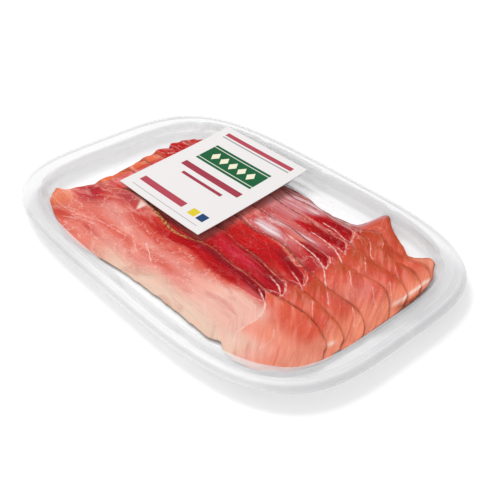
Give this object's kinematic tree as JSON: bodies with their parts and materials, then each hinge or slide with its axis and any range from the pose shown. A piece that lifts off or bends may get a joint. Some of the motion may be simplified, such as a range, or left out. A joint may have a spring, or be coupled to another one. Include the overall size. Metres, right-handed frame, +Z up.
{
  "type": "pack of sliced cured meat",
  "caption": "Shallow flanged plastic tray of thin cured-ham slices in a shingled row, sealed with a clear film and a plain card label.",
  "frame": {"origin": "middle of the tray's flat foot, on the surface it rests on", "axes": "+X along the tray's length, +Y across it towards the label's far edge, +Z up through the film"},
  "size_m": [0.2518, 0.167, 0.0135],
  "materials": {
    "tray_plastic": "translucent frosted thermoformed plastic",
    "film": "clear glossy lidding film",
    "label_card": "semi-matt coated card with flat colour fields",
    "meat": "moist cured ham, crimson to salmon with pale fat and a spiced brown edge"
  },
  "bodies": {
    "root": {"tray": "tray_plastic", "lid_film": "film", "label": "label_card", "slice_1": "meat", "slice_2": "meat", "slice_3": "meat", "slice_4": "meat", "slice_5": "meat", "slice_6": "meat", "slice_7": "meat", "slice_8": "meat"}
  },
  "joints": []
}
